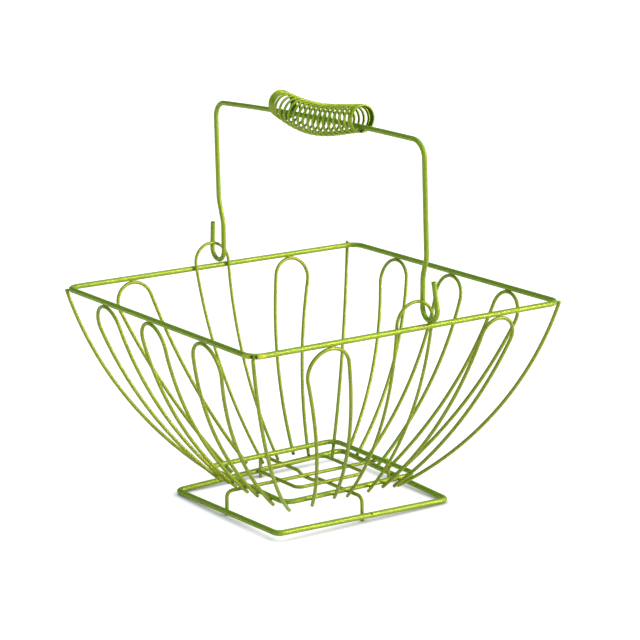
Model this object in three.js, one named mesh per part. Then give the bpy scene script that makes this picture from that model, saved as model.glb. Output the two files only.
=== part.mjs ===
// Standing fruit basket of welded wire with a swinging bail handle.
// Millimetres, +Z up. The basket stands on z = 0 with its middle on the Z axis, and its front faces -Y.
import * as THREE from 'three';

// Wires, by diameter
const RIM_WIRE = 4.2;
const FLOOR_WIRE = 4.0;
const FOOT_WIRE = 4.4;
const WALL_WIRE = 2.5;
const LEG_WIRE = 2.6;
const INNER_WIRE = 2.5;
const BAIL_WIRE = 3.7;
const GRIP_WIRE = 2.0;
const CLEARANCE = 0.3; // left between two wires that lie against each other

// Rim, measured between wire centres
const RIM_X = 277.5;
const RIM_Y = 266;
const RIM_Z = 164;
const RIM_BEND = 10;

// Floor ring and the small ring inside it
const FLOOR_X = 122;
const FLOOR_Y = 110.5;
const FLOOR_Z = 22.7;
const FLOOR_BEND = 9;
const INNER_X = 64;
const INNER_Y = 57;
const INNER_BEND = 6;

// Foot ring and the legs that carry it
const FOOT_X = 159;
const FOOT_Y = 143.5;
const FOOT_BEND = 5.5;
const FOOT_WARP = 2; // its corners stand this far above and below its middle, in turn
const LEG_POKE = 2.5; // leg ends below the foot ring
const LEG_BEND = 5;
const JOGGLE = 14; // half length of the dip where one leg wire passes under the other
const JOGGLE_BEND = 5;

// Legs stand this far from the middle of their side of the foot ring, along +X or +Y
const LEG_FRONT = 0.5;
const LEG_BACK = -2.9;
const LEG_LEFT = 4;
const LEG_RIGHT = 0;

// Bowed walls
const WALL_RADIUS = 262; // bow of the ribs and loops, seen from the side
const RIB_TIP = 14.5; // rib wire that runs on past the floor ring
const LOOP_TIP = 5; // loop wire that runs on past the floor ring
const EAR_RISE = 19.5; // top of an ear above the rim's centre

// Corner ribs: degrees from the middle of the rim's bend to the rib, to the right seen from outside,
// and the height of its cut end above the rim's centre
const RIBS = [
  { name: 'rib_front_left', sx: -1, sy: -1, turn: 0, rise: -2.2 },
  { name: 'rib_front_right', sx: 1, sy: -1, turn: 20, rise: 0 },
  { name: 'rib_back_left', sx: -1, sy: 1, turn: 20, rise: 0 },
  { name: 'rib_back_right', sx: 1, sy: 1, turn: 40, rise: 2.6 },
];

// Two legs of each loop, at the floor ring and at the shoulders under its arch, measured to the right of the
// middle of its wall, seen from outside
const FRONT_LOOPS = [
  { name: 'loop_front_left', floor: [-37, -18], top: [-90, -54.5] },
  { name: 'ear_loop_front', floor: [-4, 16], top: [-12.5, 19.5], ear: true },
  { name: 'loop_front_right', floor: [29.5, 43.5], top: [65, 95] },
];
const BACK_LOOPS = [
  { name: 'loop_back_right', floor: [-36, -22], top: [-87, -55.5] },
  { name: 'ear_loop_back', floor: [-5.5, 9.5], top: [-9, 22], ear: true },
  { name: 'loop_back_left', floor: [24.5, 42], top: [63.5, 95] },
];
const RIGHT_LOOPS = [
  { name: 'loop_right_front', floor: [-33, -20], top: [-86.5, -56] },
  { name: 'loop_right_mid', floor: [-6.5, 11], top: [-15.5, 16] },
  { name: 'loop_right_back', floor: [24.5, 37], top: [56.5, 91] },
];
const LEFT_LOOPS = [
  { name: 'loop_left_back', floor: [-40, -23], top: [-89.5, -56] },
  { name: 'loop_left_mid', floor: [-15.5, 1.5], top: [-22.5, 9.5] },
  { name: 'loop_left_front', floor: [19, 36.5], top: [49.5, 85] },
];

// Hooks of the bail
const HOOK_RADIUS = 8.75;
const HOOK_TIP = 30; // hook end above the bottom of its bend
const HOOK_PLAY = 1; // between the inner side of a hook and its ear
const HOOK_SIDE = 32; // top of the inner side, which stays clear of the ear as the bail swings
const HOOK_LEAN = 0.5; // degrees that the inner side leans out

// Legs of the bail: each comes down from a corner of the crossbar and steps in to the inner side of its hook
const BAIL_FRONT = { side: -1, hookX: 13.8, tipLean: 12, step: 4.6, cornerX: 8, cornerY: 134.6, rise: 132 };
const BAIL_BACK = { side: 1, hookX: 2.4, tipLean: 4, step: 6.3, cornerX: 2.4, cornerY: 134.2, rise: 129.3 };
const STEP_LEAN = 25;
const BAIL_CORNER = 12;
const STEP_BEND = 10;
const BAIL_CROWN = 2.4; // middle of the crossbar above a straight line between its corners

// Coiled grip on the crossbar
const GRIP_LENGTH = 107;
const GRIP_OFFSET = -9.3; // the coil sits this far from the middle of the basket, along Y
const GRIP_END_RADIUS = 9.7; // to the centre of the wire
const GRIP_MID_RADIUS = 11.7;
const GRIP_TURNS = 20;
const GRIP_FRONT_TURNS = 2; // close turns at the front end
const GRIP_BACK_TURNS = 3; // close turns at the back end
const GRIP_END_GAP = 0.5; // between close turns
const GRIP_SKEW = 1.2; // the coil swells more slowly from its front end
const GRIP_MID_DROP = 0.8; // the middle of the coil hangs this far under the crossbar's centre
const GRIP_START = -0.25; // of a turn from the +X side, so that the coil starts underneath

// Facets
const WIRE_SIDES = 8;
const GRIP_SIDES = 5;
const GRIP_STEPS = 8;
const BEND_STEPS = 4;
const LEG_STEPS = 8;
const ARCH_STEPS = 8;
const RIB_STEPS = 12;
const CROSSBAR_STEPS = 6;
const HOOK_STEPS = 8;
const ROUNDING = 1e-9;

// A wire's path through stations, which are close together in bends and far apart on straights
class WirePath extends THREE.Curve {
  constructor(stations, closed = false) {
    super();
    this.stations = stations;
    this.closed = closed;
    this.spans = closed ? stations.length : stations.length - 1;
  }

  getUtoTmapping(u) {
    return u;
  }

  station(i) {
    const n = this.stations.length;
    return this.stations[this.closed ? (i + n) % n : Math.min(Math.max(i, 0), n - 1)];
  }

  getPoint(t, target = new THREE.Vector3()) {
    const i = Math.min(Math.floor(t * this.spans + ROUNDING), this.spans - 1);
    return target.lerpVectors(this.station(i), this.station(i + 1), t * this.spans - i);
  }

  getTangent(t, target = new THREE.Vector3()) {
    const i = Math.round(t * this.spans);
    const before = this.station(i).clone().sub(this.station(i - 1)).normalize();
    const after = this.station(i + 1).clone().sub(this.station(i)).normalize();
    return target.copy(before).add(after).normalize();
  }
}

// Round wire with square-cut ends
function openWire(stations, diameter, sides = WIRE_SIDES) {
  const section = new THREE.Shape();
  for (let i = 0; i < sides; i += 1) {
    const a = ((i + 0.5) / sides) * 2 * Math.PI;
    const x = (diameter / 2) * Math.cos(a);
    const y = (diameter / 2) * Math.sin(a);
    if (i === 0) section.moveTo(x, y);
    else section.lineTo(x, y);
  }
  section.closePath();
  const path = new WirePath(stations);
  return new THREE.ExtrudeGeometry(section, { steps: path.spans, extrudePath: path });
}

// Round wire whose ends are butted together into a ring
function closedWire(stations, diameter) {
  const path = new WirePath(stations, true);
  return new THREE.TubeGeometry(path, path.spans, diameter / 2, WIRE_SIDES, true);
}

// Stations of a rectangle with round corners, between wire centres
function frameStations(sizeX, sizeY, bend, z, warp = 0) {
  const stations = [];
  const corners = [[1, 1], [-1, 1], [-1, -1], [1, -1]];
  corners.forEach(([sx, sy], quarter) => {
    for (let i = 0; i <= BEND_STEPS; i += 1) {
      const a = (quarter + i / BEND_STEPS) * (Math.PI / 2);
      const x = sx * (sizeX / 2 - bend) + bend * Math.cos(a);
      const y = sy * (sizeY / 2 - bend) + bend * Math.sin(a);
      stations.push(new THREE.Vector3(x, y, z + sx * sy * warp));
    }
  });
  return stations;
}

// Stations of a bent wire: each corner is a point and the radius of its bend, 0 for a plain station
function bentStations(corners) {
  const stations = [];
  corners.forEach(([point, bend], i) => {
    if (!bend || i === 0 || i === corners.length - 1) {
      stations.push(point.clone());
      return;
    }
    const back = corners[i - 1][0].clone().sub(point).normalize();
    const on = corners[i + 1][0].clone().sub(point).normalize();
    const half = back.angleTo(on) / 2;
    const centre = back.clone().add(on).normalize().multiplyScalar(bend / Math.sin(half)).add(point);
    const from = back.clone().multiplyScalar(bend / Math.tan(half)).add(point).sub(centre);
    const to = on.clone().multiplyScalar(bend / Math.tan(half)).add(point).sub(centre);
    const turn = from.angleTo(to);
    const steps = Math.max(2, Math.ceil((turn / (Math.PI / 2)) * BEND_STEPS));
    for (let k = 0; k <= steps; k += 1) {
      const f = k / steps;
      const a = Math.sin((1 - f) * turn) / Math.sin(turn);
      const b = Math.sin(f * turn) / Math.sin(turn);
      stations.push(from.clone().multiplyScalar(a).addScaledVector(to, b).add(centre));
    }
  });
  return stations;
}

// Distance between the centres of two wires that lie against each other
function seat(wireA, wireB) {
  return wireA / 2 + wireB / 2 + CLEARANCE;
}

// A wall wire's bow: an arc that passes a top point at one distance and the floor ring at another.
// Points are (outward, height). Arc length is counted upward from the floor ring.
function wallArc(top, topDistance, floor) {
  const da = WALL_RADIUS + topDistance;
  const db = WALL_RADIUS - seat(FLOOR_WIRE, WALL_WIRE);
  const chord = floor.clone().sub(top);
  const d = chord.length();
  const along = (da * da - db * db + d * d) / (2 * d);
  const across = Math.sqrt(da * da - along * along);
  const unit = chord.normalize();
  const centre = top.clone().addScaledVector(unit, along);
  centre.x += unit.y * across;
  centre.y -= unit.x * across;
  const start = Math.atan2(floor.y - centre.y, floor.x - centre.x);
  return {
    at(s) {
      const a = start + s / WALL_RADIUS;
      return new THREE.Vector2(centre.x + WALL_RADIUS * Math.cos(a), centre.y + WALL_RADIUS * Math.sin(a));
    },
    lengthTo(z) {
      return (Math.asin((z - centre.y) / WALL_RADIUS) - start) * WALL_RADIUS;
    },
  };
}

// Stations of a hairpin on a wall that faces -Y: a leg, a round arch and a leg, leaning as a whole
function hairpinStations(arc, apex, floor, top) {
  const floorMiddle = (floor[0] + floor[1]) / 2;
  const floorWidth = floor[1] - floor[0];
  const topMiddle = (top[0] + top[1]) / 2;
  const topWidth = top[1] - top[0];
  const rise = apex - topWidth / 2;
  const lean = Math.atan2(topMiddle - floorMiddle, rise);
  const shoulder = Math.hypot(topMiddle - floorMiddle, rise);
  const flat = [];
  for (let i = 0; i <= LEG_STEPS; i += 1) {
    const q = -LOOP_TIP + ((shoulder + LOOP_TIP) * i) / LEG_STEPS;
    flat.push([(floorWidth + ((topWidth - floorWidth) * q) / shoulder) / 2, q]);
  }
  for (let i = 1; i <= ARCH_STEPS / 2; i += 1) {
    const a = (i / ARCH_STEPS) * Math.PI;
    flat.push([(topWidth / 2) * Math.cos(a), shoulder + (topWidth / 2) * Math.sin(a)]);
  }
  const mirrored = flat.slice(0, -1).reverse().map(([p, q]) => [-p, q]);
  return [...flat, ...mirrored].map(([p, q]) => {
    const along = arc.at(q * Math.cos(lean) - p * Math.sin(lean));
    const across = floorMiddle + p * Math.cos(lean) + q * Math.sin(lean);
    return new THREE.Vector3(across, -along.x, along.y);
  });
}

// Lacquered steel, a little yellower where the wire is thick
function lacquer(colour) {
  return new THREE.MeshStandardMaterial({ color: colour, roughness: 0.32, metalness: 0.55 });
}

const THICK_COLOUR = 0x9fb32a;
const THIN_COLOUR = 0x93ab2c;
const basket = new THREE.Group();

function addWire(parent, name, geometry, colour) {
  const mesh = new THREE.Mesh(geometry, lacquer(colour));
  mesh.name = name;
  parent.add(mesh);
  return mesh;
}

// Rim, floor ring and foot ring
const FOOT_Z = LEG_POKE + FOOT_WIRE / 2;
addWire(basket, 'rim', closedWire(frameStations(RIM_X, RIM_Y, RIM_BEND, RIM_Z), RIM_WIRE), THICK_COLOUR);
addWire(basket, 'floor_ring', closedWire(frameStations(FLOOR_X, FLOOR_Y, FLOOR_BEND, FLOOR_Z), FLOOR_WIRE),
  THICK_COLOUR);
const footStations = frameStations(FOOT_X, FOOT_Y, FOOT_BEND, FOOT_Z, FOOT_WARP);
addWire(basket, 'foot_ring', closedWire(footStations, FOOT_WIRE), THICK_COLOUR);

// Two crossing leg wires under the floor ring, bent down inside the foot ring
const LEG_Z = FLOOR_Z - seat(FLOOR_WIRE, LEG_WIRE);
const LEG_X = FOOT_X / 2 - seat(FOOT_WIRE, LEG_WIRE);
const LEG_Y = FOOT_Y / 2 - seat(FOOT_WIRE, LEG_WIRE);
const DIP_Z = LEG_Z - seat(LEG_WIRE, LEG_WIRE);

const legWireX = bentStations([
  [new THREE.Vector3(-LEG_X, LEG_LEFT, 0), 0],
  [new THREE.Vector3(-LEG_X, LEG_LEFT, LEG_Z), LEG_BEND],
  [new THREE.Vector3(LEG_X, LEG_RIGHT, LEG_Z), LEG_BEND],
  [new THREE.Vector3(LEG_X, LEG_RIGHT, 0), 0],
]);
addWire(basket, 'leg_wire_x', openWire(legWireX, LEG_WIRE), THIN_COLOUR);

const crossingY = (LEG_LEFT + LEG_RIGHT) / 2;
const legWireYAt = (y, z) => {
  const x = THREE.MathUtils.mapLinear(y, -LEG_Y, LEG_Y, LEG_FRONT, LEG_BACK);
  return new THREE.Vector3(x, y, z);
};
const legWireY = bentStations([
  [legWireYAt(-LEG_Y, 0), 0],
  [legWireYAt(-LEG_Y, LEG_Z), LEG_BEND],
  [legWireYAt(crossingY - JOGGLE, LEG_Z), JOGGLE_BEND],
  [legWireYAt(crossingY - JOGGLE / 2, DIP_Z), JOGGLE_BEND],
  [legWireYAt(crossingY + JOGGLE / 2, DIP_Z), JOGGLE_BEND],
  [legWireYAt(crossingY + JOGGLE, LEG_Z), JOGGLE_BEND],
  [legWireYAt(LEG_Y, LEG_Z), LEG_BEND],
  [legWireYAt(LEG_Y, 0), 0],
]);
addWire(basket, 'leg_wire_y', openWire(legWireY, LEG_WIRE), THIN_COLOUR);

// Inner ring, lying on the leg wires
const INNER_Z = LEG_Z + seat(LEG_WIRE, INNER_WIRE);
addWire(basket, 'inner_ring', closedWire(frameStations(INNER_X, INNER_Y, INNER_BEND, INNER_Z), INNER_WIRE),
  THIN_COLOUR);

// Corner ribs, welded to the outer side of the bends of the rim and of the floor ring
function bendPoint(sizeX, sizeY, bend, angle) {
  return new THREE.Vector2(
    sizeX / 2 - bend + bend * Math.cos(angle),
    sizeY / 2 - bend + bend * Math.sin(angle),
  );
}

function ribStations({ sx, sy, turn, rise }) {
  const swerve = THREE.MathUtils.degToRad(turn);
  const top = bendPoint(RIM_X, RIM_Y, RIM_BEND, Math.PI / 4 + sx * sy * swerve);
  const foot = bendPoint(FLOOR_X, FLOOR_Y, FLOOR_BEND, Math.PI / 4);
  const out = top.clone().sub(foot);
  const reach = out.length();
  out.normalize();
  const rim = new THREE.Vector2(reach, RIM_Z);
  const besideRim = Math.sqrt(seat(RIM_WIRE, WALL_WIRE) ** 2 - Math.min(rise, 0) ** 2);
  const arc = wallArc(rim, -besideRim / Math.cos(swerve), new THREE.Vector2(0, FLOOR_Z));
  const upper = arc.lengthTo(RIM_Z + rise);
  const stations = [];
  for (let i = 0; i <= RIB_STEPS; i += 1) {
    const p = arc.at(-RIB_TIP + ((upper + RIB_TIP) * i) / RIB_STEPS);
    stations.push(new THREE.Vector3(sx * (foot.x + out.x * p.x), sy * (foot.y + out.y * p.x), p.y));
  }
  return stations;
}

RIBS.forEach((rib) => addWire(basket, rib.name, openWire(ribStations(rib), WALL_WIRE), THIN_COLOUR));

// Wall loops: plain ones end under the rim, ears stand inside it
function addWall(turn, loops, rimOut, floorOut) {
  const wall = new THREE.Group();
  wall.rotation.z = turn;
  basket.add(wall);
  const foot = new THREE.Vector2(floorOut, FLOOR_Z);
  const apexZ = RIM_Z - seat(RIM_WIRE, WALL_WIRE);
  const underRim = wallArc(new THREE.Vector2(rimOut, apexZ), 0, foot);
  const insideRim = wallArc(new THREE.Vector2(rimOut, RIM_Z), seat(RIM_WIRE, WALL_WIRE), foot);
  loops.forEach(({ name, floor, top, ear }) => {
    const arc = ear ? insideRim : underRim;
    const apex = arc.lengthTo(ear ? RIM_Z + EAR_RISE : apexZ);
    addWire(wall, name, openWire(hairpinStations(arc, apex, floor, top), WALL_WIRE), THIN_COLOUR);
  });
}

addWall(0, FRONT_LOOPS, RIM_Y / 2, FLOOR_Y / 2);
addWall(Math.PI, BACK_LOOPS, RIM_Y / 2, FLOOR_Y / 2);
addWall(Math.PI / 2, RIGHT_LOOPS, RIM_X / 2, FLOOR_X / 2);
addWall(-Math.PI / 2, LEFT_LOOPS, RIM_X / 2, FLOOR_X / 2);

// Bail: its hooks go out through the ears and stand on the rim, where it swings
const earArc = wallArc(new THREE.Vector2(RIM_Y / 2, RIM_Z), seat(RIM_WIRE, WALL_WIRE),
  new THREE.Vector2(FLOOR_Y / 2, FLOOR_Z));
const PIVOT_Z = RIM_Z + seat(RIM_WIRE, BAIL_WIRE);
const HOOK_IN = earArc.at(earArc.lengthTo(PIVOT_Z)).x - (WALL_WIRE + BAIL_WIRE) / 2 - HOOK_PLAY;
const HOOK_MIDDLE = HOOK_IN + HOOK_RADIUS;

const bail = new THREE.Group();
bail.position.z = PIVOT_Z;
basket.add(bail);

// Centre of the crossbar at a place along Y, above the pivot
function crossbarAt(y) {
  const f = (y + BAIL_FRONT.cornerY) / (BAIL_FRONT.cornerY + BAIL_BACK.cornerY);
  const x = THREE.MathUtils.lerp(BAIL_FRONT.cornerX, BAIL_BACK.cornerX, f);
  const z = THREE.MathUtils.lerp(BAIL_FRONT.rise, BAIL_BACK.rise, f) + BAIL_CROWN * 4 * f * (1 - f);
  return new THREE.Vector3(x, y, z);
}

// Corners of one leg, from the end of its hook to its corner on the crossbar
function legCorners({ side, hookX, tipLean, step, cornerX, cornerY, rise }) {
  const at = (x, out, z, bend) => [new THREE.Vector3(x, side * out, z), bend];
  const hookAt = (angle) => new THREE.Vector2(Math.cos(angle), Math.sin(angle))
    .multiplyScalar(HOOK_RADIUS)
    .add(new THREE.Vector2(HOOK_MIDDLE, HOOK_RADIUS));
  const outer = THREE.MathUtils.degToRad(tipLean);
  const inner = THREE.MathUtils.degToRad(HOOK_LEAN);
  const angles = [outer];
  for (let i = 0; i <= HOOK_STEPS; i += 1) angles.push((-i / HOOK_STEPS) * Math.PI);
  angles.push(-Math.PI - inner);
  const bend = angles.map(hookAt);
  const first = bend[0];
  const last = bend[bend.length - 1];
  const sideOut = last.x + (HOOK_SIDE - last.y) * Math.tan(inner);
  const legOut = HOOK_IN + step;
  const stepRise = (legOut - sideOut) / Math.tan(THREE.MathUtils.degToRad(STEP_LEAN));
  return [
    at(hookX, first.x - (HOOK_TIP - first.y) * Math.tan(outer), HOOK_TIP, 0),
    ...bend.map((p) => at(hookX, p.x, p.y, 0)),
    at(hookX, sideOut, HOOK_SIDE, STEP_BEND),
    at(hookX, legOut, HOOK_SIDE + stepRise, STEP_BEND),
    at(cornerX, cornerY, rise, BAIL_CORNER),
  ];
}

const crossbar = [];
for (let i = 1; i < CROSSBAR_STEPS; i += 1) {
  const y = THREE.MathUtils.lerp(-BAIL_FRONT.cornerY, BAIL_BACK.cornerY, i / CROSSBAR_STEPS);
  crossbar.push([crossbarAt(y), 0]);
}
const bailCorners = [...legCorners(BAIL_FRONT), ...crossbar, ...legCorners(BAIL_BACK).reverse()];
addWire(bail, 'bail', openWire(bentStations(bailCorners), BAIL_WIRE), THICK_COLOUR);

// Grip: a swelling coil whose end turns sit on the crossbar and whose middle hangs round it
function gripStations() {
  const endSeat = GRIP_END_RADIUS - seat(GRIP_WIRE, BAIL_WIRE);
  const endPitch = GRIP_WIRE + GRIP_END_GAP;
  const endTurns = GRIP_FRONT_TURNS + GRIP_BACK_TURNS;
  const midPitch = (GRIP_LENGTH - endTurns * endPitch) / (GRIP_TURNS - endTurns);
  const stationAt = (turn) => {
    const ends = Math.min(turn, GRIP_FRONT_TURNS) + Math.max(turn - GRIP_TURNS + GRIP_BACK_TURNS, 0);
    const along = ends * endPitch + (turn - ends) * midPitch;
    const y = GRIP_OFFSET - GRIP_LENGTH / 2 + along;
    const swell = Math.sin((along / GRIP_LENGTH) ** GRIP_SKEW * Math.PI);
    const radius = GRIP_END_RADIUS + (GRIP_MID_RADIUS - GRIP_END_RADIUS) * swell;
    const a = (turn + GRIP_START) * 2 * Math.PI;
    const place = crossbarAt(y);
    place.x += radius * Math.cos(a);
    place.z += radius * Math.sin(a) + endSeat * (1 - swell) - GRIP_MID_DROP * swell;
    return place;
  };
  const stations = [];
  for (let i = 0; i <= GRIP_TURNS * GRIP_STEPS; i += 1) stations.push(stationAt(i / GRIP_STEPS));
  const tail = new THREE.Vector3(GRIP_WIRE, 0, 0);
  return [stationAt(0).sub(tail), ...stations, stationAt(GRIP_TURNS).add(tail)];
}

// Least gap between one turn of the coil and the next, measured at its stations and half way between them
function leastGap(stations, wire) {
  const path = new WirePath(stations);
  const points = path.getSpacedPoints(2 * path.spans);
  let least = Infinity;
  points.forEach((p, i) => {
    for (let j = i + GRIP_STEPS; j < points.length; j += 1) least = Math.min(least, p.distanceTo(points[j]));
  });
  return least - wire;
}

const gripPath = gripStations();
console.log(`grip: least gap between turns ${leastGap(gripPath, GRIP_WIRE).toFixed(2)} mm`);
addWire(bail, 'grip', openWire(gripPath, GRIP_WIRE, GRIP_SIDES), THIN_COLOUR);

export default basket;
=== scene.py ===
import math

import bpy
import numpy as np
from mathutils import Matrix


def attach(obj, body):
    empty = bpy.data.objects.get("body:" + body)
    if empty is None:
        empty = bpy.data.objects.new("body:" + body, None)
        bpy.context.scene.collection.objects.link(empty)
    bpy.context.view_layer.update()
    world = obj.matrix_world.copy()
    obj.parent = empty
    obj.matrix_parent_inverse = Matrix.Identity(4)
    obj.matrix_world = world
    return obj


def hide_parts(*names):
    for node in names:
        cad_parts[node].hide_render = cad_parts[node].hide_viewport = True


# Lacquered wire basket: round wires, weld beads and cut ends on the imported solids. The frame is in metres,
# and the sizes below are in millimetres, as in the part's source.
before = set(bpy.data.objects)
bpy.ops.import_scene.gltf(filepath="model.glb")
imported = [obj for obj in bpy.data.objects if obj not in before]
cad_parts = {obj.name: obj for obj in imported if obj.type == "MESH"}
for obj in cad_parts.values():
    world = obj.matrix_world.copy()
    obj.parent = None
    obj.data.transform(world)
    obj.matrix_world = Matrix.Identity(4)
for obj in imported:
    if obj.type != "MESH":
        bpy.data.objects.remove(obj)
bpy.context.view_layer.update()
MM = 0.001

# Wires, by diameter
RIM_WIRE = 4.2
FLOOR_WIRE = 4.0
FOOT_WIRE = 4.4
WALL_WIRE = 2.5
LEG_WIRE = 2.6
INNER_WIRE = 2.5
BAIL_WIRE = 3.7
GRIP_WIRE = 2.0
CLEARANCE = 0.3
THICK = ("rim", "floor_ring", "foot_ring", "bail")  # the other wires are thin
# Lacquer makes the thin wires and the bail look fuller than their gauge. The ears keep theirs, for the hooks.
THIN_FULLER = 1.12
FULLER = {"bail": 1.03, "grip": 1.0, "ear_loop_front": 1.0, "ear_loop_back": 1.0}

# Rim, floor, inner and foot rings, between wire centres
RIM_X, RIM_Y, RIM_Z, RIM_BEND = 277.5, 266.0, 164.0, 10.0
FLOOR_X, FLOOR_Y, FLOOR_Z, FLOOR_BEND = 122.0, 110.5, 22.7, 9.0
INNER_X, INNER_Y, INNER_BEND = 64.0, 57.0, 6.0
FOOT_X, FOOT_Y, FOOT_BEND, FOOT_WARP = 159.0, 143.5, 5.5, 2.0

# Legs
LEG_POKE = 2.5
LEG_BEND = 5.0
JOGGLE = 14.0
JOGGLE_BEND = 5.0
LEG_FRONT, LEG_BACK, LEG_LEFT, LEG_RIGHT = 0.5, -2.9, 4.0, 0.0

# Bowed walls
WALL_RADIUS = 262.0
RIB_TIP = 14.5
LOOP_TIP = 5.0
EAR_RISE = 19.5

# Corner ribs: side along X and Y, degrees from the middle of the rim's bend, and height of the cut end
RIBS = {
    "rib_front_left": (-1, -1, 0.0, -2.2),
    "rib_front_right": (1, -1, 20.0, 0.0),
    "rib_back_left": (-1, 1, 20.0, 0.0),
    "rib_back_right": (1, 1, 40.0, 2.6),
}

# Two legs of each loop, at the floor ring and under its arch, to the right of its wall's middle from outside
FRONT_LOOPS = {
    "loop_front_left": ((-37.0, -18.0), (-90.0, -54.5)),
    "ear_loop_front": ((-4.0, 16.0), (-12.5, 19.5)),
    "loop_front_right": ((29.5, 43.5), (65.0, 95.0)),
}
BACK_LOOPS = {
    "loop_back_right": ((-36.0, -22.0), (-87.0, -55.5)),
    "ear_loop_back": ((-5.5, 9.5), (-9.0, 22.0)),
    "loop_back_left": ((24.5, 42.0), (63.5, 95.0)),
}
RIGHT_LOOPS = {
    "loop_right_front": ((-33.0, -20.0), (-86.5, -56.0)),
    "loop_right_mid": ((-6.5, 11.0), (-15.5, 16.0)),
    "loop_right_back": ((24.5, 37.0), (56.5, 91.0)),
}
LEFT_LOOPS = {
    "loop_left_back": ((-40.0, -23.0), (-89.5, -56.0)),
    "loop_left_mid": ((-15.5, 1.5), (-22.5, 9.5)),
    "loop_left_front": ((19.0, 36.5), (49.5, 85.0)),
}

# Bail: hooks, legs and crossbar
HOOK_RADIUS = 8.75
HOOK_TIP = 30.0
HOOK_PLAY = 1.0
HOOK_SIDE = 32.0
HOOK_LEAN = math.radians(0.5)
BAIL_FRONT = {"side": -1, "hook_x": 13.8, "tip_lean": 12.0, "step": 4.6, "corner": (8.0, 134.6, 132.0)}
BAIL_BACK = {"side": 1, "hook_x": 2.4, "tip_lean": 4.0, "step": 6.3, "corner": (2.4, 134.2, 129.3)}
STEP_LEAN = math.radians(18.0)  # gentler than in the CAD, as the lacquered bend looks
BAIL_CORNER = 12.0
STEP_BEND = 24.0
BAIL_CROWN = 2.4
CROSSBAR_END = 1 / 6  # share of the crossbar beside a corner that is straight

# Coiled grip
GRIP_LENGTH = 107.0
GRIP_OFFSET = -9.3
GRIP_LOW = GRIP_OFFSET - GRIP_LENGTH / 2  # its front end, along Y
GRIP_END_RADIUS = 9.7
GRIP_MID_RADIUS = 11.7
GRIP_TURNS = 20
GRIP_FRONT_TURNS, GRIP_BACK_TURNS = 2, 3
GRIP_END_GAP = 0.5
GRIP_SKEW = 1.2
GRIP_MID_DROP = 0.8
GRIP_START = -0.25

# Fineness of the wires
SIDES = 20
GRIP_SIDES = 14
BEND_STEPS = 22
ARCH_STEPS = 56
RIB_STEPS = 60  # also along the legs of a loop
CROSSBAR_STEPS = 24
HOOK_STEPS = 40
GRIP_STEPS = 36
PITCH = 1.4  # between rings of vertices along a wire
MIN_BEND_STEPS = 3
MIN_WIRE_STEPS = 4

# Cut ends
CHAMFER = 0.28
END_LIP = 0.86  # a cut face, as a share of the wire
DISH = 0.12
LIP_CUT = 0.4  # how far the bare end shows on its chamfer
ENDS_BARE = (1.0, 1.0)
RIB_BARE = (1.0, 0.0)  # the upper end of a rib is lacquered over
SHARP_ANGLE = math.radians(35.0)

# Welds
WELD_REACH = 0.5  # a weld runs as far as the wires are within this of lying against each other
WELD_SIZE = 1.15
WELD_SIDES = 10
WELD_PITCH = 0.35  # between rings of vertices along a bead
WELD_MIN_STEPS = 8
WELD_TAPER = 0.02  # least share of the radius at the ends of a bead, squared
WELD_LUMPS = ((0.08, 7.0, 0), (0.06, 15.0, 1))  # height, waves, and the axis whose place shifts them
NEAR_WELD_REACH = 3.4  # painted shade round a weld, where the lacquer is also rougher and lumpier
# The beads take this share of the painted weld shade
BEAD_NEAR_WELD = 0.35

# Marks by point: bare metal, painted shade near welds, a painted highlight on pooled lacquer, painted shade
# in the coil
MASKS = ("cut", "heat", "highlit_pool", "inside")
PORE_SIZE = 1.25
PORE_PROUD = 0.4  # of the wire
RIM_PORES = (math.radians(56.0), math.radians(40.0))  # round the bend at the front left
RIM_PORE_LIFT = 0.1  # how far they face up
FOOT_PORE = 6.0  # along the front of the foot ring, where its ends meet
FOOT_PORE_OUT = (-0.4, -1.1, 1.0)  # the way it faces
RIM_POOL_HIGHLIGHTS = tuple(math.radians(a) for a in (82.0, 70.0, 24.0, 10.0))  # painted highlight on pooled lacquer beside the pores
POOL_HIGHLIGHT_REACH = 3.2
COIL_SHADE_START = 0.2  # how far the painted shade inside the coil runs past half of its wire


def seat(wire_a, wire_b):
    return wire_a / 2 + wire_b / 2 + CLEARANCE


def unit(v):
    return v / np.linalg.norm(v)


def unit_rows(rows):
    return rows / np.linalg.norm(rows, axis=-1, keepdims=True)


def rect_path(size_x, size_y, bend, z, warp=0.0):
    """A rectangle with round corners, which stand above and below z by the warp, in turn."""
    points = []
    for quarter, (sx, sy) in enumerate([(1, 1), (-1, 1), (-1, -1), (1, -1)]):
        for i in range(BEND_STEPS + 1):
            a = (quarter + i / BEND_STEPS) * math.pi / 2
            x = sx * (size_x / 2 - bend) + bend * math.cos(a)
            y = sy * (size_y / 2 - bend) + bend * math.sin(a)
            points.append((x, y, z + sx * sy * warp))
    return np.array(points)


def bent_path(corners):
    """A bent wire: each corner is a point and the radius of its bend, 0 for a plain point."""
    points = []
    for i, (point, bend) in enumerate(corners):
        point = np.array(point, float)
        if not bend or i in (0, len(corners) - 1):
            points.append(point)
            continue
        back = unit(np.array(corners[i - 1][0], float) - point)
        on = unit(np.array(corners[i + 1][0], float) - point)
        half = math.acos(np.dot(back, on)) / 2
        centre = point + unit(back + on) * bend / math.sin(half)
        start = point + back * bend / math.tan(half) - centre
        end = point + on * bend / math.tan(half) - centre
        turn = math.pi - 2 * half
        steps = max(MIN_BEND_STEPS, math.ceil(turn / (math.pi / 2) * BEND_STEPS))
        for k in range(steps + 1):
            f = k / steps
            arm = start * math.sin((1 - f) * turn) + end * math.sin(f * turn)
            points.append(centre + arm / math.sin(turn))
    return np.array(points)


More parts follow.
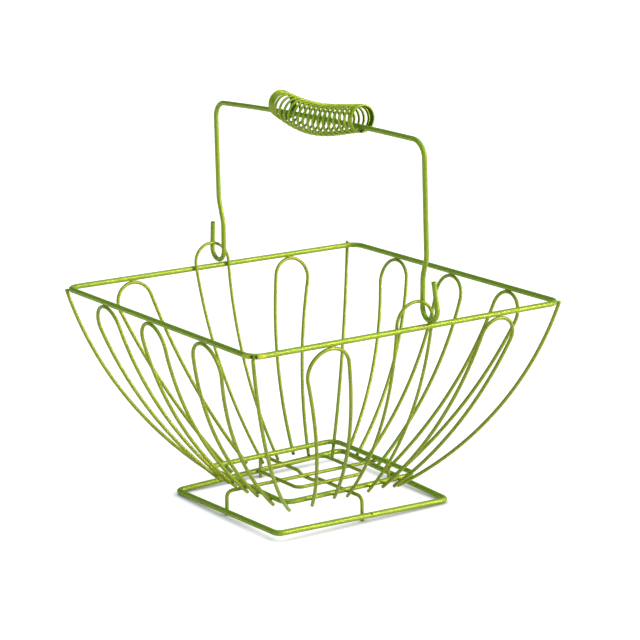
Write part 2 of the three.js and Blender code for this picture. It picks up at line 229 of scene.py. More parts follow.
def resample(points, closed):
    """The same path with evenly spaced points."""
    if closed:
        points = np.vstack([points, points[:1]])
    steps = np.linalg.norm(np.diff(points, axis=0), axis=1)
    length = np.concatenate([[0], np.cumsum(steps)])
    count = max(MIN_WIRE_STEPS, round(length[-1] / PITCH))
    places = np.linspace(0, length[-1], count + 1)
    if closed:
        places = places[:-1]
    return np.stack([np.interp(places, length, points[:, k]) for k in range(3)], axis=1)


def wall_arc(top, top_distance, floor):
    """The bow of a wall wire past a top point and the floor ring, in (outward, height)."""
    top, floor = np.array(top, float), np.array(floor, float)
    da = WALL_RADIUS + top_distance
    db = WALL_RADIUS - seat(FLOOR_WIRE, WALL_WIRE)
    d = np.linalg.norm(floor - top)
    along = (da * da - db * db + d * d) / (2 * d)
    across = math.sqrt(da * da - along * along)
    u = (floor - top) / d
    centre = top + u * along + np.array([u[1], -u[0]]) * across
    start = math.atan2(floor[1] - centre[1], floor[0] - centre[0])

    def at(s):
        a = start + s / WALL_RADIUS
        return centre + WALL_RADIUS * np.array([math.cos(a), math.sin(a)])

    def length_to(z):
        return (math.asin((z - centre[1]) / WALL_RADIUS) - start) * WALL_RADIUS

    return at, length_to


def hairpin_path(at, apex, floor, top):
    """A hairpin on a wall that faces -Y: a leg, a round arch and a leg, leaning as a whole."""
    floor_middle, floor_width = sum(floor) / 2, floor[1] - floor[0]
    top_middle, top_width = sum(top) / 2, top[1] - top[0]
    rise = apex - top_width / 2
    lean = math.atan2(top_middle - floor_middle, rise)
    shoulder = math.hypot(top_middle - floor_middle, rise)
    half = []
    for i in range(RIB_STEPS + 1):
        q = -LOOP_TIP + (shoulder + LOOP_TIP) * i / RIB_STEPS
        half.append(((floor_width + (top_width - floor_width) * q / shoulder) / 2, q))
    for i in range(1, ARCH_STEPS // 2 + 1):
        a = i / ARCH_STEPS * math.pi
        half.append((top_width / 2 * math.cos(a), shoulder + top_width / 2 * math.sin(a)))
    whole = half + [(-p, q) for p, q in reversed(half[:-1])]
    points = []
    for p, q in whole:
        out, z = at(q * math.cos(lean) - p * math.sin(lean))
        points.append((floor_middle + p * math.cos(lean) + q * math.sin(lean), -out, z))
    return np.array(points)


def turned(points, angle):
    c, s = math.cos(angle), math.sin(angle)
    return points @ np.array([[c, s, 0], [-s, c, 0], [0, 0, 1]])


# Paths of the wires, by CAD node: (points, diameter, closed)
wires = {}
FOOT_Z = LEG_POKE + FOOT_WIRE / 2
LEG_Z = FLOOR_Z - seat(FLOOR_WIRE, LEG_WIRE)
LEG_X = FOOT_X / 2 - seat(FOOT_WIRE, LEG_WIRE)
LEG_Y = FOOT_Y / 2 - seat(FOOT_WIRE, LEG_WIRE)
DIP_Z = LEG_Z - seat(LEG_WIRE, LEG_WIRE)
INNER_Z = LEG_Z + seat(LEG_WIRE, INNER_WIRE)
wires["rim"] = rect_path(RIM_X, RIM_Y, RIM_BEND, RIM_Z), RIM_WIRE, True
wires["floor_ring"] = rect_path(FLOOR_X, FLOOR_Y, FLOOR_BEND, FLOOR_Z), FLOOR_WIRE, True
wires["foot_ring"] = rect_path(FOOT_X, FOOT_Y, FOOT_BEND, FOOT_Z, FOOT_WARP), FOOT_WIRE, True
wires["inner_ring"] = rect_path(INNER_X, INNER_Y, INNER_BEND, INNER_Z), INNER_WIRE, True
wires["leg_wire_x"] = bent_path([
    ((-LEG_X, LEG_LEFT, 0), 0),
    ((-LEG_X, LEG_LEFT, LEG_Z), LEG_BEND),
    ((LEG_X, LEG_RIGHT, LEG_Z), LEG_BEND),
    ((LEG_X, LEG_RIGHT, 0), 0),
]), LEG_WIRE, False


def leg_y_at(y, z):
    return LEG_FRONT + (LEG_BACK - LEG_FRONT) * (y + LEG_Y) / (2 * LEG_Y), y, z


CROSSING_Y = (LEG_LEFT + LEG_RIGHT) / 2
wires["leg_wire_y"] = bent_path([
    (leg_y_at(-LEG_Y, 0), 0),
    (leg_y_at(-LEG_Y, LEG_Z), LEG_BEND),
    (leg_y_at(CROSSING_Y - JOGGLE, LEG_Z), JOGGLE_BEND),
    (leg_y_at(CROSSING_Y - JOGGLE / 2, DIP_Z), JOGGLE_BEND),
    (leg_y_at(CROSSING_Y + JOGGLE / 2, DIP_Z), JOGGLE_BEND),
    (leg_y_at(CROSSING_Y + JOGGLE, LEG_Z), JOGGLE_BEND),
    (leg_y_at(LEG_Y, LEG_Z), LEG_BEND),
    (leg_y_at(LEG_Y, 0), 0),
]), LEG_WIRE, False


def bend_point(size_x, size_y, bend, angle):
    return np.array([size_x / 2 - bend + bend * math.cos(angle), size_y / 2 - bend + bend * math.sin(angle)])


def rib_path(sx, sy, turn, rise):
    swerve = math.radians(turn)
    top = bend_point(RIM_X, RIM_Y, RIM_BEND, math.pi / 4 + sx * sy * swerve)
    foot = bend_point(FLOOR_X, FLOOR_Y, FLOOR_BEND, math.pi / 4)
    reach = np.linalg.norm(top - foot)
    out = (top - foot) / reach
    beside_rim = math.sqrt(seat(RIM_WIRE, WALL_WIRE) ** 2 - min(rise, 0) ** 2)
    at, length_to = wall_arc((reach, RIM_Z), -beside_rim / math.cos(swerve), (0, FLOOR_Z))
    upper = length_to(RIM_Z + rise)
    points = []
    for i in range(RIB_STEPS + 1):
        p, z = at(-RIB_TIP + (upper + RIB_TIP) * i / RIB_STEPS)
        points.append((sx * (foot[0] + out[0] * p), sy * (foot[1] + out[1] * p), z))
    return np.array(points)


for rib_name, rib in RIBS.items():
    wires[rib_name] = rib_path(*rib), WALL_WIRE, False


def add_wall(turn, loops, rim_out, floor_out):
    """Plain loops end under the rim, and ears stand inside it."""
    apex_z = RIM_Z - seat(RIM_WIRE, WALL_WIRE)
    under_rim = wall_arc((rim_out, apex_z), 0, (floor_out, FLOOR_Z))
    inside_rim = wall_arc((rim_out, RIM_Z), seat(RIM_WIRE, WALL_WIRE), (floor_out, FLOOR_Z))
    for name, (floor, top) in loops.items():
        ear = name.startswith("ear_")
        at, length_to = inside_rim if ear else under_rim
        apex = length_to(RIM_Z + EAR_RISE if ear else apex_z)
        wires[name] = turned(hairpin_path(at, apex, floor, top), turn), WALL_WIRE, False


add_wall(0, FRONT_LOOPS, RIM_Y / 2, FLOOR_Y / 2)
add_wall(math.pi, BACK_LOOPS, RIM_Y / 2, FLOOR_Y / 2)
add_wall(math.pi / 2, RIGHT_LOOPS, RIM_X / 2, FLOOR_X / 2)
add_wall(-math.pi / 2, LEFT_LOOPS, RIM_X / 2, FLOOR_X / 2)

# Bail
ear_at, ear_length_to = wall_arc((RIM_Y / 2, RIM_Z), seat(RIM_WIRE, WALL_WIRE), (FLOOR_Y / 2, FLOOR_Z))
PIVOT_Z = RIM_Z + seat(RIM_WIRE, BAIL_WIRE)
HOOK_IN = ear_at(ear_length_to(PIVOT_Z))[0] - (WALL_WIRE + BAIL_WIRE) / 2 - HOOK_PLAY
HOOK_MIDDLE = HOOK_IN + HOOK_RADIUS
BAIL_PLACE = np.array([0, 0, PIVOT_Z])


def crossbar_at(y):
    """Centre of the crossbar at a place along Y, above the pivot."""
    (front_x, front_y, front_z), (back_x, back_y, back_z) = BAIL_FRONT["corner"], BAIL_BACK["corner"]
    f = (y + front_y) / (front_y + back_y)
    crown = BAIL_CROWN * 4 * f * (1 - f)
    return np.array([front_x + (back_x - front_x) * f, y, front_z + (back_z - front_z) * f + crown])


def leg_corners(side, hook_x, tip_lean, step, corner):
    """One leg of the bail, from the end of its hook to its corner on the crossbar."""
    lean = math.radians(tip_lean)
    half_turn = [-math.pi * i / HOOK_STEPS for i in range(HOOK_STEPS + 1)]
    bend = [
        (HOOK_MIDDLE + HOOK_RADIUS * math.cos(a), HOOK_RADIUS + HOOK_RADIUS * math.sin(a))
        for a in [lean, *half_turn, -math.pi - HOOK_LEAN]
    ]
    tip_out = bend[0][0] - (HOOK_TIP - bend[0][1]) * math.tan(lean)
    side_out = bend[-1][0] + (HOOK_SIDE - bend[-1][1]) * math.tan(HOOK_LEAN)
    leg_out = HOOK_IN + step
    step_top = HOOK_SIDE + (leg_out - side_out) / math.tan(STEP_LEAN)
    corner_x, corner_y, corner_z = corner
    return [
        ((hook_x, side * tip_out, HOOK_TIP), 0),
        *(((hook_x, side * out, z), 0) for out, z in bend),
        ((hook_x, side * side_out, HOOK_SIDE), STEP_BEND),
        ((hook_x, side * leg_out, step_top), STEP_BEND),
        ((corner_x, side * corner_y, corner_z), BAIL_CORNER),
    ]


def crossbar_corners():
    low, high = -BAIL_FRONT["corner"][1], BAIL_BACK["corner"][1]
    shares = np.linspace(CROSSBAR_END, 1 - CROSSBAR_END, CROSSBAR_STEPS + 1)
    return [(crossbar_at(low + (high - low) * f), 0) for f in shares]


bail_path = bent_path(leg_corners(**BAIL_FRONT) + crossbar_corners() + leg_corners(**BAIL_BACK)[::-1])
wires["bail"] = bail_path + BAIL_PLACE, BAIL_WIRE, False


def coil_at(along):
    """Swell and centre of the coil at a place along the grip."""
    end_seat = GRIP_END_RADIUS - seat(GRIP_WIRE, BAIL_WIRE)
    swell = math.sin((along / GRIP_LENGTH) ** GRIP_SKEW * math.pi)
    lift = end_seat * (1 - swell) - GRIP_MID_DROP * swell
    return swell, crossbar_at(GRIP_LOW + along) + np.array([0, 0, lift])


def grip_path():
    """A swelling coil whose end turns sit on the crossbar and whose middle hangs round it."""
    end_pitch = GRIP_WIRE + GRIP_END_GAP
    end_turns = GRIP_FRONT_TURNS + GRIP_BACK_TURNS
    mid_pitch = (GRIP_LENGTH - end_turns * end_pitch) / (GRIP_TURNS - end_turns)
    points = []
    for i in range(GRIP_TURNS * GRIP_STEPS + 1):
        turn = i / GRIP_STEPS
        ends = min(turn, GRIP_FRONT_TURNS) + max(turn - GRIP_TURNS + GRIP_BACK_TURNS, 0)
        along = ends * end_pitch + (turn - ends) * mid_pitch
        swell, centre = coil_at(along)
        radius = GRIP_END_RADIUS + (GRIP_MID_RADIUS - GRIP_END_RADIUS) * swell
        a = (turn + GRIP_START) * 2 * math.pi
        points.append(centre + radius * np.array([math.cos(a), 0, math.sin(a)]))
    tail = np.array([GRIP_WIRE, 0, 0])
    points = np.array(points)
    return np.vstack([points[:1] - tail, points, points[-1:] + tail])


wires["grip"] = grip_path() + BAIL_PLACE, GRIP_WIRE, False
wires = {name: (resample(points, closed), wire, closed) for name, (points, wire, closed) in wires.items()}


# Meshes
def frames_along(points, closed):
    """Tangents and two normals at each point, with no needless twist."""
    if closed:
        tangents = np.roll(points, -1, axis=0) - np.roll(points, 1, axis=0)
    else:
        tangents = np.gradient(points, axis=0)
    tangents = unit_rows(tangents)
    normals = np.zeros_like(points)
    first = np.eye(3)[np.argmin(np.abs(tangents[0]))]
    normals[0] = unit(first - tangents[0] * np.dot(first, tangents[0]))
    for i in range(1, len(points)):
        normals[i] = unit(normals[i - 1] - tangents[i] * np.dot(normals[i - 1], tangents[i]))
    binormals = np.cross(tangents, normals)
    if closed:
        v = unit(normals[-1] - tangents[0] * np.dot(normals[-1], tangents[0]))
        twist = math.atan2(np.dot(v, binormals[0]), np.dot(v, normals[0]))
        a = -twist * np.arange(len(points)) / len(points)
        c, s = np.cos(a)[:, None], np.sin(a)[:, None]
        normals, binormals = c * normals + s * binormals, c * binormals - s * normals
    return tangents, normals, binormals


def sweep(points, radii, sides, closed, dish):
    """Vertices and faces of a round bar along points, with a fan on each open end."""
    tangents, normals, binormals = frames_along(points, closed)
    a = np.arange(sides) / sides * 2 * math.pi
    c, s = np.cos(a)[None, :, None], np.sin(a)[None, :, None]
    spokes = c * normals[:, None, :] + s * binormals[:, None, :]
    rings = points[:, None, :] + radii[:, None, None] * spokes
    verts = rings.reshape(-1, 3)
    count = len(points)
    i = np.arange(count if closed else count - 1)[:, None]
    k = np.arange(sides)[None, :]
    here, there = i * sides, (i + 1) % count * sides
    after = (k + 1) % sides
    quads = np.stack([here + k, here + after, there + after, there + k], axis=2).reshape(-1, 4)
    faces = [tuple(q) for q in quads.tolist()]
    if not closed:
        ends = np.array([points[0] + tangents[0] * dish, points[-1] - tangents[-1] * dish])
        verts = np.vstack([verts, ends])
        low, high = len(verts) - 2, len(verts) - 1
        last = (count - 1) * sides
        faces += [(low, (j + 1) % sides, j) for j in range(sides)]
        faces += [(high, last + j, last + (j + 1) % sides) for j in range(sides)]
    return verts, faces


def add_piece(name, verts, faces, material, body, masks):
    """A piece with the masks that its lacquer looks at. One that isn't given is 0 all over."""
    mesh = bpy.data.meshes.new(name)
    mesh.from_pydata((verts * MM).tolist(), [], faces)
    for mask in MASKS:
        values = masks.get(mask, np.zeros(len(verts))).astype(np.float32)
        mesh.attributes.new(mask, "FLOAT", "POINT").data.foreach_set("value", values)
    mesh.polygons.foreach_set("use_smooth", [True] * len(mesh.polygons))
    mesh.set_sharp_from_angle(angle=SHARP_ANGLE)
    mesh.update()
    piece = bpy.data.objects.new(name, mesh)
    bpy.context.scene.collection.objects.link(piece)
    mesh.materials.append(material)
    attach(piece, body)
    return piece


def near(verts, places, reach):
    """1 at the places and 0 beyond reach of them."""
    if not len(places):
        return np.zeros(len(verts))
    gaps = np.min(np.linalg.norm(verts[:, None, :] - np.array(places)[None, :, :], axis=2), axis=1)
    f = np.clip(1 - gaps / reach, 0, 1)
    return f * f * (3 - 2 * f)


def facing_inward(points, verts, sides):
    """1 on the side of the coil's wire that faces its centre, for painted shade, and 0 on most of its outer
    half.
    """
    along = np.clip(points[:, 1] - GRIP_LOW, 0, GRIP_LENGTH)
    centres = np.array([coil_at(a)[1] for a in along]) + BAIL_PLACE
    inward = unit_rows(centres - points)
    spokes = unit_rows(verts[:len(points) * sides].reshape(len(points), sides, 3) - points[:, None, :])
    facing = np.clip(np.sum(spokes * inward[:, None, :], axis=2) + COIL_SHADE_START, 0, 1).ravel()
    return np.concatenate([facing, np.zeros(len(verts) - len(facing))])


def highlit_pool_places():
    """Where a painted highlight marks lacquer pooled on the outer side of the near corner of the rim."""
    places = []
    for a in RIM_POOL_HIGHLIGHTS:
        out = np.array([math.cos(a), math.sin(a)])
        x, y = -bend_point(RIM_X, RIM_Y, RIM_BEND, a) - out * RIM_WIRE / 2
        places.append((x, y, RIM_Z))
    return places


def add_wire(node, material, body, welds):
    """The round wire that stands for a CAD node. Open ends are chamfered and dished."""
    points, wire, closed = wires[node]
    radius = wire / 2 * FULLER.get(node, 1.0 if node in THICK else THIN_FULLER)
    sides = GRIP_SIDES if node == "grip" else SIDES
    bare = ()
    if not closed:
        bare = RIB_BARE if node.startswith("rib_") else ENDS_BARE
        tangents = frames_along(points, False)[0]
        lips = points[0] + tangents[0] * CHAMFER, points[-1] - tangents[-1] * CHAMFER
        points = np.vstack([points[:1], lips[:1], points[1:-1], lips[1:], points[-1:]])
    radii = np.full(len(points), radius)
    cut = np.zeros(len(points))
    if not closed:
        radii[[0, -1]] = radius * END_LIP
        cut[[0, -1]] = bare
        cut[[1, -2]] = np.multiply(bare, LIP_CUT)
    verts, faces = sweep(points, radii, sides, closed, DISH)
    masks = {
        "cut": np.concatenate([np.repeat(cut, sides), bare]),
        "heat": near(verts, welds, NEAR_WELD_REACH),
    }
    if node == "rim":
        masks["highlit_pool"] = near(verts, highlit_pool_places(), POOL_HIGHLIGHT_REACH)
    if node == "grip":
        masks["inside"] = facing_inward(points, verts, sides)
    piece = add_piece(f"{node}_wire", verts, faces, material, body, masks)
    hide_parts(node)


def weld_lines(thin, thick):
    """Where a thin wire lies against a thick one: lines of points between the two."""
    a, wire_a, _ = wires[thin]
    b, wire_b, _ = wires[thick]
    gaps = np.linalg.norm(a[:, None, :] - b[None, :, :], axis=2)
    nearest = np.argmin(gaps, axis=1)
    touching = np.flatnonzero(np.min(gaps, axis=1) < seat(wire_a, wire_b) + WELD_REACH)
    share = wire_a / (wire_a + wire_b)
    runs = np.split(touching, np.flatnonzero(np.diff(touching) > 1) + 1)
    return [a[run] + (b[nearest[run]] - a[run]) * share for run in runs if len(run)]


def weld_bead(line, size=WELD_SIZE):
    """A lumpy bead along a weld line, tapered at its ends."""
    middle = line.mean(axis=0)
    way = line[-1] - line[0]
    length = max(np.linalg.norm(way), size)
    f = np.linspace(0, 1, max(WELD_MIN_STEPS, round(length / WELD_PITCH)) + 1)
    if len(line) > 2:
        share = np.linspace(0, 1, len(line))
        spine = np.stack([np.interp(f, share, line[:, k]) for k in range(3)], axis=1)
    else:
        spine = middle + (f[:, None] - 0.5) * unit(way) * length
    lumps = np.ones(len(f))
    for height, waves, axis in WELD_LUMPS:
        lumps += height * np.sin(waves * f + middle[axis])
    radii = size * np.sqrt(np.clip(1 - (2 * f - 1) ** 2, WELD_TAPER, 1)) * lumps
    return sweep(spine, radii, WELD_SIDES, False, 0.0)


def pore_line(place, out, along, wire):
    """A short line just under the skin of a wire."""
    middle = np.array(place) + unit(np.array(out)) * (wire / 2 + PORE_PROUD - PORE_SIZE)
    return middle + np.outer([-PORE_SIZE, PORE_SIZE], unit(np.array(along)))


def pore_lines():
    """Dark pores at the near corner of the rim and at the joint of the foot ring, by ring."""
    rim = []
    for a in RIM_PORES:
        x, y = -bend_point(RIM_X, RIM_Y, RIM_BEND, a)
        out, along = (-math.cos(a), -math.sin(a), RIM_PORE_LIFT), (math.sin(a), -math.cos(a), 0)
        rim.append(pore_line((x, y, RIM_Z), out, along, RIM_WIRE))
    foot_z = FOOT_Z - FOOT_WARP * FOOT_PORE / (FOOT_X / 2)
    foot = pore_line((FOOT_PORE, -FOOT_Y / 2, foot_z), FOOT_PORE_OUT, (1, 0, 0), FOOT_WIRE)
    return {"rim": rim, "foot_ring": [foot]}


def add_beads(name, beads, material):
    """One piece of many beads, each with its own vertices, faces and share of bare metal."""
    faces, start = [], 0
    for bead_verts, bead_faces, _ in beads:
        faces += [tuple(v + start for v in face) for face in bead_faces]
        start += len(bead_verts)
    verts = np.vstack([bead_verts for bead_verts, _, _ in beads])
    cut = np.concatenate([np.full(len(bead_verts), bare) for bead_verts, _, bare in beads])
    add_piece(name, verts, faces, material, "basket", {"cut": cut, "heat": np.full(len(cut), BEAD_NEAR_WELD)})


# Nodes
def add_node(tree, kind, inputs=None, **settings):
    """A node with its settings and inputs, which are plain values or the outputs of other nodes."""
    node = tree.nodes.new(kind)
    for key, value in settings.items():
        setattr(node, key, value)
    for key, value in (inputs or {}).items():
        if isinstance(value, bpy.types.NodeSocket):
            tree.links.new(value, node.inputs[key])
        else:
            node.inputs[key].default_value = value
    return node


def add_math(tree, operation, a, b):
    return add_node(tree, "ShaderNodeMath", {0: a, 1: b}, operation=operation).outputs[0]


def add_mix(tree, factor, a, b):
    """A mix of two colours, whose sockets have these numbers."""
    return add_node(tree, "ShaderNodeMix", {0: factor, 6: a, 7: b}, data_type="RGBA").outputs[2]


def add_range(tree, value, low, high, to_low, to_high):
    ends = {"From Min": low, "From Max": high, "To Min": to_low, "To Max": to_high}
    return add_node(tree, "ShaderNodeMapRange", {"Value": value, **ends}).outputs["Result"]


# Lacquer: the body's deep and light colour, and its roughness
LACQUERS = {
    "thick": ((0.095, 0.31, 0.001), (0.125, 0.355, 0.001), 0.40),
    "thin": ((0.125, 0.28, 0.001), (0.155, 0.32, 0.001), 0.40),
    # The grip's lighter body is painted light: a lit copy of the same lacquer
    "grip": ((0.21, 0.42, 0.002), (0.24, 0.47, 0.003), 0.34),
    # The welds' darker body is painted shade where the wires meet
    "weld": ((0.07, 0.20, 0.001), (0.10, 0.25, 0.001), 0.44),
}
FLAKE_COLOUR = (1.0, 0.82, 0.18)
FLAKE_SHARE = 0.30
FLAKE_COVER = 0.70  # of its colour over the body's
FLAKE_METAL = 0.55
FLAKES_PER_METRE = 30000.0
GLOSS_TINT = (0.90, 1.0, 0.70)
GLOSS_IOR = 1.22
# Painted shade round welds, mottled, where the lacquer is also rougher
WELD_SHADE_COLOUR = (0.035, 0.06, 0.006)
WELD_SHADE_COVER = 0.75
WELD_MOTTLE_LEAST = 0.25  # where the mottle is thinnest
WELD_ROUGHER = 0.2
BARE_END = (0.03, 0.04, 0.012)
BARE_COVER = 0.9
# A painted highlight on pooled lacquer
POOL_HIGHLIGHT_COLOUR = (0.78, 0.80, 0.05)
COIL_SHADE = (0.035, 0.11, 0.001)  # painted shade inside the coil
SMOOTHEST, ROUGHEST = -0.04, 0.06  # beside the roughness that is given
PEEL_STRENGTH = 0.18
PEEL_HEIGHT = 0.00012
# Noise: scale and detail, and the part of its range that is used
BODY_NOISE, BODY_RANGE = (28.0, 2.0), (0.35, 0.65)
MOTTLE_NOISE, WELD_MOTTLE_RANGE, ROUGH_RANGE = (420.0, 3.0), (0.35, 0.6), (0.3, 0.7)
PEEL_NOISE = (900.0, 2.0)


def lacquer(name, deep, light, roughness):
    """Metallic lime lacquer: green body, yellow metal flakes, bare cut ends, painted shade at welds and in
    the coil, painted highlight on pooled lacquer.
    """
    material = bpy.data.materials.new(name)
    material.use_nodes = True
    tree = material.node_tree
    shader = tree.nodes["Principled BSDF"]
    place = add_node(tree, "ShaderNodeTexCoord").outputs["Object"]

    def grain(scale, detail):
        inputs = {"Vector": place, "Scale": scale, "Detail": detail}
        return add_node(tree, "ShaderNodeTexNoise", inputs).outputs["Fac"]

    def times(a, b):
        return add_math(tree, "MULTIPLY", a, b)

    mottle = grain(*MOTTLE_NOISE)
    peel = grain(*PEEL_NOISE)
    cut, heat, highlit_pool, inside = (
        add_node(tree, "ShaderNodeAttribute", attribute_name=mask).outputs["Fac"] for mask in MASKS
    )
    # Painted shade near welds, in a mottled patch that also roughens and bumps the lacquer
    weld_shade_and_texture = times(heat, add_range(tree, mottle, *WELD_MOTTLE_RANGE, WELD_MOTTLE_LEAST, 1.0))
    painted_weld_shade = times(weld_shade_and_texture, WELD_SHADE_COVER)
    bare = times(cut, BARE_COVER)
    painted_shade_and_bare = add_math(tree, "MAXIMUM", add_math(tree, "MAXIMUM", painted_weld_shade, bare), inside)

    cells = add_node(tree, "ShaderNodeTexVoronoi", {"Vector": place, "Scale": FLAKES_PER_METRE})
    chance = add_node(tree, "ShaderNodeSeparateColor", {0: cells.outputs["Color"]}).outputs[0]
    flakes = times(add_math(tree, "LESS_THAN", chance, FLAKE_SHARE), add_math(tree, "SUBTRACT", 1.0, painted_shade_and_bare))

    body = add_mix(tree, add_range(tree, grain(*BODY_NOISE), *BODY_RANGE, 0.0, 1.0), (*deep, 1), (*light, 1))
    # Painted shade at welds and in the coil, a painted highlight on pooled lacquer, and bare cut ends
    for cover, colour in ((painted_weld_shade, WELD_SHADE_COLOUR), (highlit_pool, POOL_HIGHLIGHT_COLOUR), (inside, COIL_SHADE), (bare, BARE_END)):
        body = add_mix(tree, cover, body, (*colour, 1))
    colour = add_mix(tree, times(flakes, FLAKE_COVER), body, (*FLAKE_COLOUR, 1))
    rough = add_range(tree, mottle, *ROUGH_RANGE, roughness + SMOOTHEST, roughness + ROUGHEST)
    height = add_math(tree, "ADD", peel, times(weld_shade_and_texture, mottle))
    bump = add_node(
        tree, "ShaderNodeBump", {"Height": height, "Strength": PEEL_STRENGTH, "Distance": PEEL_HEIGHT}
    )
    tree.links.new(colour, shader.inputs["Base Color"])
    tree.links.new(times(flakes, FLAKE_METAL), shader.inputs["Metallic"])
    tree.links.new(add_math(tree, "ADD", rough, times(weld_shade_and_texture, WELD_ROUGHER)), shader.inputs["Roughness"])
    tree.links.new(bump.outputs["Normal"], shader.inputs["Normal"])
    shader.inputs["IOR"].default_value = GLOSS_IOR
    shader.inputs["Specular Tint"].default_value = (*GLOSS_TINT, 1)
    return material


def finish_of(node):
    if node == "grip":
        return "grip"
    return "thick" if node in THICK else "thin"


# Pieces: beads where wires lie against each ring and leg wire, and then the wires
WELDED = {
    "rim": [n for n in wires if n.startswith(("rib_", "loop_", "ear_"))],
    "floor_ring": [n for n in wires if n.startswith(("rib_", "loop_", "ear_", "leg_"))],
    "foot_ring": ["leg_wire_x", "leg_wire_y"],
    "inner_ring": ["leg_wire_x", "leg_wire_y"],
    "leg_wire_x": ["leg_wire_y"],
}
finishes = {name: lacquer(f"lacquer_{name}", *values) for name, values in LACQUERS.items()}
pores = pore_lines()
weld_places = {name: [] for name in wires}
for thick, thins in WELDED.items():
    beads = []
    for thin in thins:
        for line in weld_lines(thin, thick):
            beads.append((*weld_bead(line), 0.0))
            weld_places[thin] += list(line)
            weld_places[thick] += list(line)
    beads += [(*weld_bead(line, PORE_SIZE), 1.0) for line in pores.get(thick, [])]
    add_beads(f"{thick}_welds", beads, finishes["weld"])

for node_name in wires:
    on = "bail" if node_name in ("bail", "grip") else "basket"
    add_wire(node_name, finishes[finish_of(node_name)], on, weld_places[node_name])


def towards(azimuth, elevation):
    """A unit vector, with azimuth from the front to the right."""
    az, el = math.radians(azimuth), math.radians(elevation)
    return np.array([math.sin(az) * math.cos(el), -math.cos(az) * math.cos(el), math.sin(el)])


# Camera, fitted to the photograph
CAMERA_AZIMUTH = -34.6
CAMERA_ELEVATION = 13.88
CAMERA_ROLL = math.radians(-0.47)
CAMERA_DISTANCE = 1.75955
CAMERA_TARGET = (0.00757, -0.00327, 0.14372)
CAMERA_LENS = 128.22
SENSOR_WIDTH = 36.0


def camera_matrix():
    back = towards(CAMERA_AZIMUTH, CAMERA_ELEVATION)
    level = towards(CAMERA_AZIMUTH + 90, 0)
    upright = np.cross(back, level)
    c, s = math.cos(CAMERA_ROLL), math.sin(CAMERA_ROLL)
    right, up = c * level + s * upright, c * upright - s * level
    place = np.array(CAMERA_TARGET) + back * CAMERA_DISTANCE
    columns = np.column_stack([right, up, back, place])
    return Matrix(np.vstack([columns, [0, 0, 0, 1]]).tolist())


camera_data = bpy.data.cameras.new("camera")
camera_data.lens = CAMERA_LENS
camera_data.sensor_width = SENSOR_WIDTH
camera = bpy.data.objects.new("camera", camera_data)
bpy.context.scene.collection.objects.link(camera)
camera.matrix_world = camera_matrix()
bpy.context.scene.camera = camera

# Light: two wide warm lamps to the right of the camera, one above the other, and a wider one overhead,
# in a cooler and dimmer room. Lamps are (azimuth, elevation, width in degrees, strength, colour).
LAMPS = {
    "key_high": (38.0, 26.0, 24.0, 1.8, (1.0, 0.85, 0.74)),
    "key_low": (44.0, 6.0, 24.0, 1.7, (1.0, 0.85, 0.74)),
    "top": (-5.0, 70.0, 100.0, 1.25, (0.86, 1.0, 0.98)),
}
ROOM_STRENGTH = 0.20
ROOM_COLOUR = (0.78, 1.0, 0.94)
BACKDROP_TOP = 0.12  # sine of its elevation
BACKDROP_FADE = 0.06


def add_lamp(name, azimuth, elevation, width, strength, colour):
    light = bpy.data.lights.new(name, "SUN")
    light.energy = strength
    light.color = colour
    light.angle = math.radians(width)
    lamp = bpy.data.objects.new(name, light)
    bpy.context.scene.collection.objects.link(lamp)
    back = towards(azimuth, elevation)
    right = towards(azimuth + 90, 0)
    columns = np.column_stack([right, np.cross(back, right), back])
    lamp.matrix_world = Matrix(columns.tolist()).to_4x4()


for lamp_name, lamp_values in LAMPS.items():
    add_lamp(lamp_name, *lamp_values)


def seen_rays(tree):
    """1 for rays that show a surface, and 0 for those that carry light."""
    rays = add_node(tree, "ShaderNodeLightPath").outputs
    shown = add_math(tree, "MAXIMUM", rays["Is Camera Ray"], rays["Is Glossy Ray"])
    return add_math(tree, "MAXIMUM", shown, rays["Is Transmission Ray"])


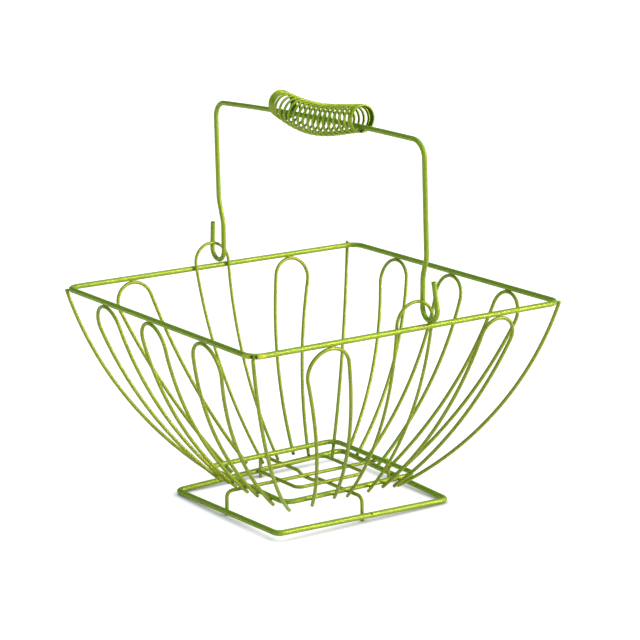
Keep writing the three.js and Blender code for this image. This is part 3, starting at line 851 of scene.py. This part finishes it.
def add_room():
    """A room that lights the basket evenly, with a white backdrop round the floor where it is seen."""
    world = bpy.data.worlds.new("room")
    world.use_nodes = True
    bpy.context.scene.world = world
    tree = world.node_tree
    room = tree.nodes["Background"]
    room.inputs["Color"].default_value = (*ROOM_COLOUR, 1)
    room.inputs["Strength"].default_value = ROOM_STRENGTH
    backdrop = add_node(tree, "ShaderNodeBackground", {"Color": (1, 1, 1, 1), "Strength": 1.0})
    place = add_node(tree, "ShaderNodeTexCoord").outputs["Generated"]
    height = add_node(tree, "ShaderNodeSeparateXYZ", {0: place}).outputs["Z"]
    fade = add_range(tree, height, BACKDROP_TOP, BACKDROP_TOP + BACKDROP_FADE, 1.0, 0.0)
    shown = add_math(tree, "MULTIPLY", seen_rays(tree), fade)
    chosen = add_node(tree, "ShaderNodeMixShader", {0: shown, 1: room.outputs[0], 2: backdrop.outputs[0]})
    tree.links.new(chosen.outputs[0], tree.nodes["World Output"].inputs["Surface"])


add_room()

# Floor
FLOOR_HALF = 40.0
FLOOR_COLOUR = (0.53, 0.56, 0.62)
FLOOR_GLOW = (0.82, 0.79, 0.80)  # where the floor is seen
SHADE_REACH = 0.006  # how near a wire takes glow away
SHADE_POWER = 1.8


def paper():
    """Matt pale paper with a glow where it is seen, less close under the wires."""
    material = bpy.data.materials.new("paper")
    material.use_nodes = True
    tree = material.node_tree
    tree.nodes.remove(tree.nodes["Principled BSDF"])
    matte = add_node(tree, "ShaderNodeBsdfDiffuse", {"Color": (*FLOOR_COLOUR, 1)})
    shade = add_node(tree, "ShaderNodeAmbientOcclusion", {"Distance": SHADE_REACH}).outputs["AO"]
    strength = add_math(tree, "MULTIPLY", seen_rays(tree), add_math(tree, "POWER", shade, SHADE_POWER))
    glow = add_node(tree, "ShaderNodeEmission", {"Color": (*FLOOR_GLOW, 1), "Strength": strength})
    both = add_node(tree, "ShaderNodeAddShader", {0: matte.outputs[0], 1: glow.outputs[0]})
    tree.links.new(both.outputs[0], tree.nodes["Material Output"].inputs["Surface"])
    return material


floor_mesh = bpy.data.meshes.new("floor")
floor_corners = [(x * FLOOR_HALF, y * FLOOR_HALF, 0) for x, y in [(-1, -1), (1, -1), (1, 1), (-1, 1)]]
floor_mesh.from_pydata(floor_corners, [], [(0, 1, 2, 3)])
floor_mesh.materials.append(paper())
floor = bpy.data.objects.new("floor", floor_mesh)
bpy.context.scene.collection.objects.link(floor)

bpy.context.scene.view_settings.view_transform = "Standard"
bpy.context.view_layer.update()
